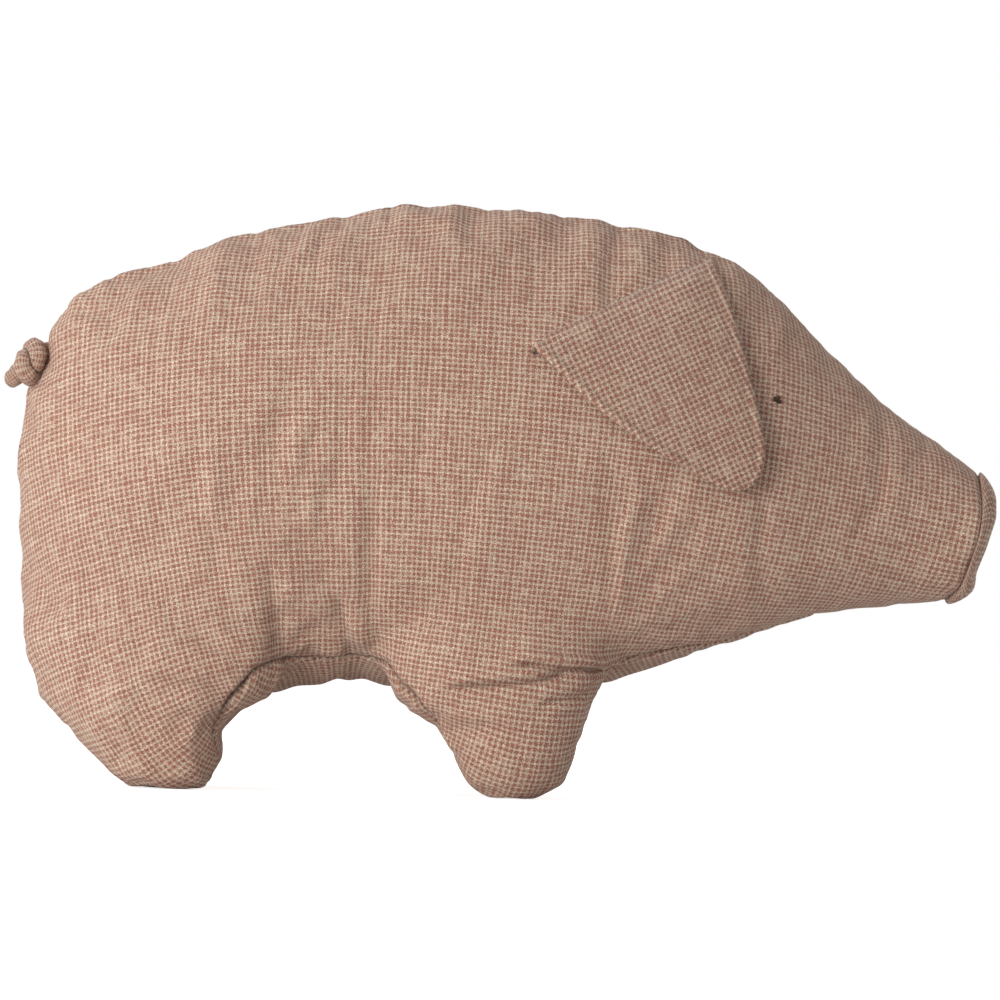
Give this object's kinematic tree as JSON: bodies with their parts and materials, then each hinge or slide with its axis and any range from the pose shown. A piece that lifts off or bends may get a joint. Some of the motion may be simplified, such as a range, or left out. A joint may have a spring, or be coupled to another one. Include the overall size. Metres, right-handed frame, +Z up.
{
  "type": "plush pig",
  "caption": "Stuffed toy pig of checked woven cloth: rounded body on stub legs, tapering snout with a sewn disc, hanging ears and a knotted cloth tail.",
  "frame": {"origin": "middle of the bounding box in X and Y, on the floor that the feet stand on", "axes": "+X towards the snout, +Y towards the pig's left side, +Z up"},
  "size_m": [0.4534, 0.1472, 0.2672],
  "materials": {
    "checked_cloth": "matt fine check weave",
    "ear_lining": "matt fine check weave",
    "eye_thread": "stitched thread",
    "fibre_filling": "loose white fibre"
  },
  "bodies": {
    "body": {"left_side_panel": "checked_cloth", "right_side_panel": "checked_cloth", "belly_gusset": "checked_cloth", "snout_disc": "checked_cloth", "filling_torso": "fibre_filling", "filling_head": "fibre_filling", "filling_left_hind_leg": "fibre_filling", "filling_left_front_leg": "fibre_filling", "filling_right_hind_leg": "fibre_filling", "filling_right_front_leg": "fibre_filling", "left_eye": "eye_thread", "right_eye": "eye_thread"},
    "right_ear": {"right_ear_outer": "checked_cloth", "right_ear_lining": "ear_lining"},
    "left_ear": {"left_ear_outer": "checked_cloth", "left_ear_lining": "ear_lining"},
    "tail": {"tail": "checked_cloth"}
  },
  "joints": [
    {"name": "right_ear_flap", "type": "hinge", "parent": "body", "child": "right_ear", "pos_m": [0.05831, -0.04186, 0.22731], "axis": [-0.7981, -0.4347, -0.4172], "range_deg": [0, 100]},
    {"name": "left_ear_flap", "type": "hinge", "parent": "body", "child": "left_ear", "pos_m": [0.05831, 0.04186, 0.22731], "axis": [0.7981, -0.4347, 0.4172], "range_deg": [0, 100]},
    {"name": "tail_swing", "type": "hinge", "parent": "body", "child": "tail", "pos_m": [-0.20522, 0, 0.202], "axis": [0, 1, 0], "range_deg": [0, 75]}
  ]
}
